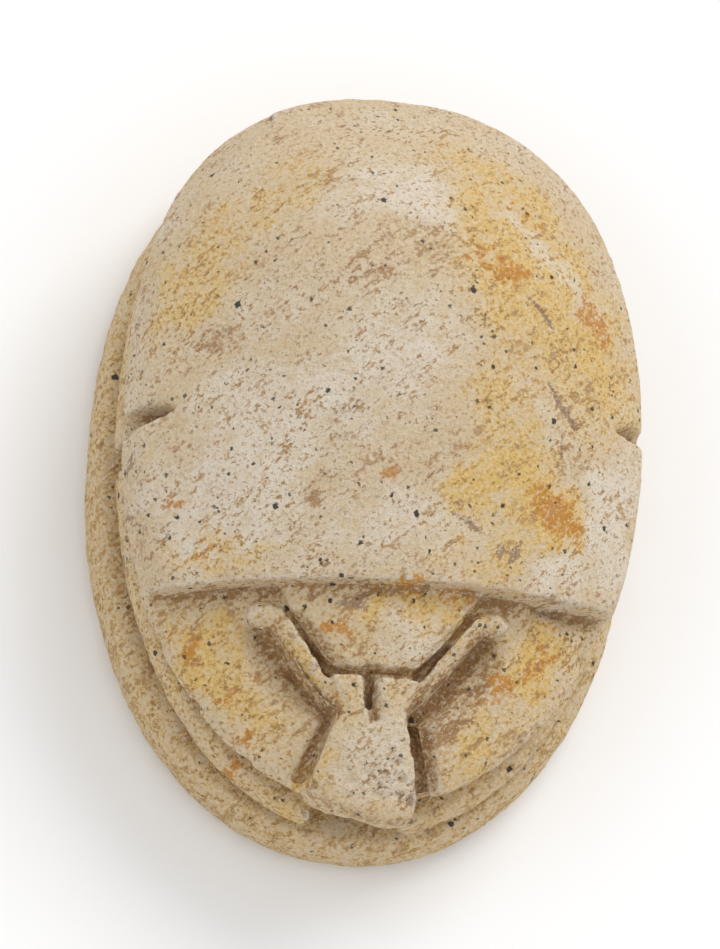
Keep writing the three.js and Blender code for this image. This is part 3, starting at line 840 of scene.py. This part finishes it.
@dataclass(frozen=True)
class SteatiteFinish:
    """Fired steatite without its glaze: matt, mottled, stained and speckled."""

    bone: tuple[float, ...] = (0.70, 0.62, 0.51, 1.0)
    cream: tuple[float, ...] = (0.61, 0.475, 0.30, 1.0)
    tan: tuple[float, ...] = (0.42, 0.255, 0.115, 1.0)
    ochre: tuple[float, ...] = (0.68, 0.435, 0.09, 1.0)
    rust: tuple[float, ...] = (0.50, 0.20, 0.012, 1.0)
    # Earth brown: dirt, and painted shade in hollows, cut lines, steep faces, at the step's foot and
    # beside the arms.
    earth: tuple[float, ...] = (0.27, 0.135, 0.038, 1.0)
    umber: tuple[float, ...] = (0.20, 0.088, 0.02, 1.0)
    # Purplish brown for lumps and scars, and for painted shade on the left facet and beside the right arm.
    plum: tuple[float, ...] = (0.25, 0.16, 0.115, 1.0)
    soot: tuple[float, ...] = (0.02, 0.02, 0.016, 1.0)
    least_roughness: float = 0.7
    roughness_range: float = 0.18
    specular: float = 0.35
    bump_height: float = 4.5e-6
    streak_turn: float = 42.0
    streak_stretch: tuple[float, float, float] = (0.55, 1.45, 1.0)

    def material(self) -> bpy.types.Material:
        """Builds the finish.

        Returns:
            The material, which reads Object coordinates and the painted attributes.
        """
        graph = Graph("steatite")
        space = graph.node("ShaderNodeTexCoord", {}, {}).outputs["Object"]
        place = self.scaled(graph, space, (1.0, 1.0, 1.0), 0.0)
        streak = self.scaled(graph, space, self.streak_stretch, self.streak_turn)
        noises = {
            Grain.BROAD: self.noise(graph, place, 0.6, 4.0),
            Grain.MOTTLE: self.noise(graph, streak, 1.9, 6.0),
            Grain.FLECK: self.noise(graph, streak, 5.5, 4.0),
            Grain.FINE: self.noise(graph, place, 11.0, 2.0),
            Grain.DUST: self.noise(graph, place, 24.0, 1.0),
        }
        share = {tint: graph.attribute(tint) for tint in Tint}
        specks = self.specks(graph, place, 1.9, (0.07, 0.16), 0.6, share[Tint.SOOT])
        dust = self.specks(graph, place, 3.8, (0.11, 0.2), 0.56, share[Tint.SOOT])
        dark = graph.maths("MAXIMUM", specks, dust * 0.85)

        colour = self.mottled(graph, noises, share)
        colour = graph.blend(colour, self.soot, dark * 0.93)
        roughened = noises[Grain.FINE] * 0.5 + noises[Grain.DUST] * 0.4 + noises[Grain.FLECK] * 0.8
        height = roughened - dark * 2.0
        bump = graph.node("ShaderNodeBump", {}, {
            "Strength": 1.0, "Distance": self.bump_height, "Height": height,
        })
        matt = graph.step(noises[Grain.MOTTLE] + share[Tint.CREVICE], -2.0, 2.5)
        shader = graph.node("ShaderNodeBsdfPrincipled", {}, {
            "Base Color": colour,
            "Roughness": matt * self.roughness_range + self.least_roughness,
            "Normal": bump.outputs["Normal"],
            "Specular IOR Level": self.specular,
        })
        graph.node("ShaderNodeOutputMaterial", {}, {"Surface": shader.outputs["BSDF"]})
        return graph.material

    def mottled(
        self, graph: Graph, noises: dict[Grain, Value], share: dict[Tint, Value]
    ) -> bpy.types.NodeSocket:
        """Colours the stone, from its ground through the stains, dirt and painted shade to the worn edges.

        Args:
            graph: The material's graph.
            noises: The noise of each grain.
            share: The painted share of each tint.

        Returns:
            The colour before the dark specks.
        """
        broad, mottle = noises[Grain.BROAD], noises[Grain.MOTTLE]
        fleck, grain = noises[Grain.FLECK], noises[Grain.FINE]
        ragged = mottle * 0.14 + fleck * 0.13 + grain * 0.06
        pale = share[Tint.PALE]
        bone = graph.step(0.34 + pale * 0.5 + broad * 0.12 + ragged * 1.1, 0.1, 0.95)
        ochre = share[Tint.OCHRE] * (1.0 - pale * 0.55) + broad * 0.05 + ragged * 1.1
        veil = mottle * 0.45 + fleck * 0.6 + grain * 0.3 - pale * 0.35
        torn = ragged * 1.2
        brown = fleck * 0.6 + grain * 0.8 + broad * 0.4
        colour = graph.blend(self.cream, self.bone, bone)
        for tone, value, low, high, most in (
            (self.ochre, ochre, 0.05, 1.0, 0.85),
            (self.tan, veil, -0.4, 2.0, 0.62),
            # Plum: purplish lumps and scars, and purplish painted shade on the left facet and beside the
            # right arm.
            (self.plum, share[Tint.PLUM] + torn, 0.35, 0.8, 0.8),
            # Earth brown where the umber share lies: brown dirt, and painted shade on steep faces, at the
            # step's foot and beside the arms.
            (self.earth, share[Tint.UMBER] + torn, 0.2, 1.2, 0.8),
            (self.rust, share[Tint.RUST] + torn, 0.3, 0.95, 0.85),
            # Earth brown in hollows and cut lines: dirt with painted shade.
            (self.earth, share[Tint.CREVICE] + torn, 0.22, 1.1, 0.85),
            (self.bone, share[Tint.WORN] + torn, 0.3, 1.1, 0.6),
            (self.tan, grain, 0.4, 2.4, 0.45),
            (self.bone, 0.0 - grain, 0.4, 2.4, 0.4),
            (self.umber, brown, 1.7, 2.7, 0.4),
        ):
            colour = graph.blend(colour, tone, graph.step(value, low, high) * most)
        return colour

    @staticmethod
    def scaled(graph: Graph, space: object, scale: Sequence[float], turn: float) -> bpy.types.NodeSocket:
        """Object coordinates in millimetres, turned about the vertical and stretched.

        Args:
            graph: The material's graph.
            space: The coordinates in metres.
            scale: The stretch along each turned axis.
            turn: The turn in degrees.

        Returns:
            The new coordinates.
        """
        point = {"vector_type": "POINT"}
        rotation = (0.0, 0.0, -math.radians(turn))
        turned = graph.node("ShaderNodeMapping", point, {"Vector": space, "Rotation": rotation})
        stretch = tuple(part / MM for part in scale)
        inputs = {"Vector": turned.outputs[0], "Scale": stretch}
        return graph.node("ShaderNodeMapping", point, inputs).outputs[0]

    @staticmethod
    def noise(graph: Graph, place: object, scale: float, detail: float) -> Value:
        """Fractal noise around 0, mostly from -2 to 2.

        Args:
            graph: The material's graph.
            place: Coordinates in millimetres.
            scale: Features per millimetre.
            detail: How many finer octaves are added.

        Returns:
            The noise.
        """
        inputs = {"Vector": place, "Scale": scale, "Detail": detail, "Roughness": 0.7}
        raw = Value(graph, graph.node("ShaderNodeTexNoise", {}, inputs).outputs[0])
        return (raw - 0.5) * 16.0

    @staticmethod
    def specks(
        graph: Graph, place: object, scale: float, radii: tuple[float, float], empty: float, soot: Value
    ) -> Value:
        """Round dark specks, one in some of the cells.

        Args:
            graph: The material's graph.
            place: Coordinates in millimetres.
            scale: Cells per millimetre.
            radii: The smallest and the largest speck's radius, as a share of a cell.
            empty: The share of cells without a speck.
            soot: Where specks stand thicker.

        Returns:
            1 in a speck and 0 outside.
        """
        shaken = graph.node("ShaderNodeTexNoise", {}, {"Vector": place, "Scale": 14.0, "Detail": 2.0})
        moved = graph.node("ShaderNodeVectorMath", {"operation": "MULTIPLY_ADD"}, {
            "Vector": shaken.outputs["Color"], "Vector_001": (0.12, 0.12, 0.12), "Vector_002": place,
        })
        cells = graph.node("ShaderNodeTexVoronoi", {}, {"Vector": moved.outputs[0], "Scale": scale})
        parts = graph.node("ShaderNodeSeparateColor", {}, {"Color": cells.outputs["Color"]})
        present = graph.step(Value(graph, parts.outputs[0]) + soot * 0.6, empty, empty + 0.04)
        size = Value(graph, parts.outputs[1])
        reach = size * size * (radii[1] - radii[0]) + radii[0]
        outside = graph.step(Value(graph, cells.outputs["Distance"]) - reach, -0.02, 0.03)
        return (1.0 - outside) * present


# ---------------------------------------------------------------- the stage


@dataclass(frozen=True)
class Studio:
    """A plain pale floor, soft light from all round with a soft key, and the camera."""

    floor_half: float = 0.6
    floor_gap: float = 2e-5
    distance: float = 0.26
    lean_left: float = 8.8
    lean_head: float = 18.0
    roll: float = -2.5
    shift_right: float = 0.228
    shift_up: float = 0.724
    lens: float = 419.7
    sky: float = 0.8

    def build(self) -> None:
        """Makes the floor, the lights, the surroundings and the camera."""
        self.floor()
        self.light("key", (0.2, 0.28, 0.34), 0.28, 1.0)
        self.light("fill", (-0.3, -0.1, 0.3), 0.3, 0.12)
        world = bpy.data.worlds.new("studio")
        bpy.context.scene.world = world
        world.use_nodes = True
        background = world.node_tree.nodes["Background"]
        background.inputs["Color"].default_value = (1.0, 1.0, 1.0, 1.0)
        background.inputs["Strength"].default_value = self.sky
        bpy.context.scene.view_settings.view_transform = "Standard"
        self.camera()

    def floor(self) -> None:
        """Lays the floor just under the stone."""
        form = bmesh.new()
        bmesh.ops.create_grid(form, x_segments=1, y_segments=1, size=self.floor_half)
        bmesh.ops.translate(form, vec=(0.0, 0.0, -self.floor_gap), verts=form.verts)
        mesh = bpy.data.meshes.new("floor")
        form.to_mesh(mesh)
        form.free()
        floor = bpy.data.objects.new("floor", mesh)
        bpy.context.scene.collection.objects.link(floor)
        graph = Graph("pale_floor")
        shader = graph.node("ShaderNodeBsdfPrincipled", {}, {
            "Base Color": (0.95, 0.95, 0.95, 1.0), "Roughness": 0.9, "Specular IOR Level": 0.1,
        })
        graph.node("ShaderNodeOutputMaterial", {}, {"Surface": shader.outputs["BSDF"]})
        mesh.materials.append(graph.material)

    @staticmethod
    def light(name: str, place: Sequence[float], size: float, power: float) -> None:
        """Hangs a square soft light that faces the stone.

        Args:
            name: The light's name.
            place: Where it hangs, in metres.
            size: Its side.
            power: Its power in watts.
        """
        lamp = bpy.data.lights.new(name, "AREA")
        lamp.size = size
        lamp.energy = power
        holder = bpy.data.objects.new(name, lamp)
        holder.location = place
        holder.rotation_euler = Vector(place).to_track_quat("Z", "Y").to_euler()
        bpy.context.scene.collection.objects.link(holder)

    def camera(self) -> None:
        """Places the camera: high in front of the head and a little to the left."""
        left, head = math.sin(math.radians(self.lean_left)), math.sin(math.radians(self.lean_head))
        back = Vector((-left, -head, math.sqrt(1.0 - left * left - head * head)))
        roll = math.radians(self.roll)
        up = Vector((math.sin(roll), math.cos(roll), 0.0))
        up = (up - back * up.dot(back)).normalized()
        right = up.cross(back)
        lens = bpy.data.cameras.new("camera")
        lens.sensor_fit = "VERTICAL"
        lens.sensor_height = 36.0
        lens.lens = self.lens
        lens.clip_start = 0.01
        lens.clip_end = 10.0
        holder = bpy.data.objects.new("camera", lens)
        holder.matrix_world = Matrix((right, up, back)).transposed().to_4x4()
        holder.location = back * self.distance + right * self.shift_right * MM + up * self.shift_up * MM
        bpy.context.scene.collection.objects.link(holder)
        bpy.context.scene.camera = holder


def main() -> None:
    """Builds the stone and the stage, and logs the stone's face count."""
    logging.basicConfig(level=logging.INFO, format="%(message)s")
    stone = WornStone().build(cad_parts["scarab"])
    stone.data.materials.clear()
    stone.data.materials.append(SteatiteFinish().material())
    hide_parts("scarab")
    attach(stone, "root")
    LOG.info("worn stone: %d faces", len(stone.data.polygons))
    Studio().build()
    bpy.context.view_layer.update()


if __name__ == "__main__":
    main()
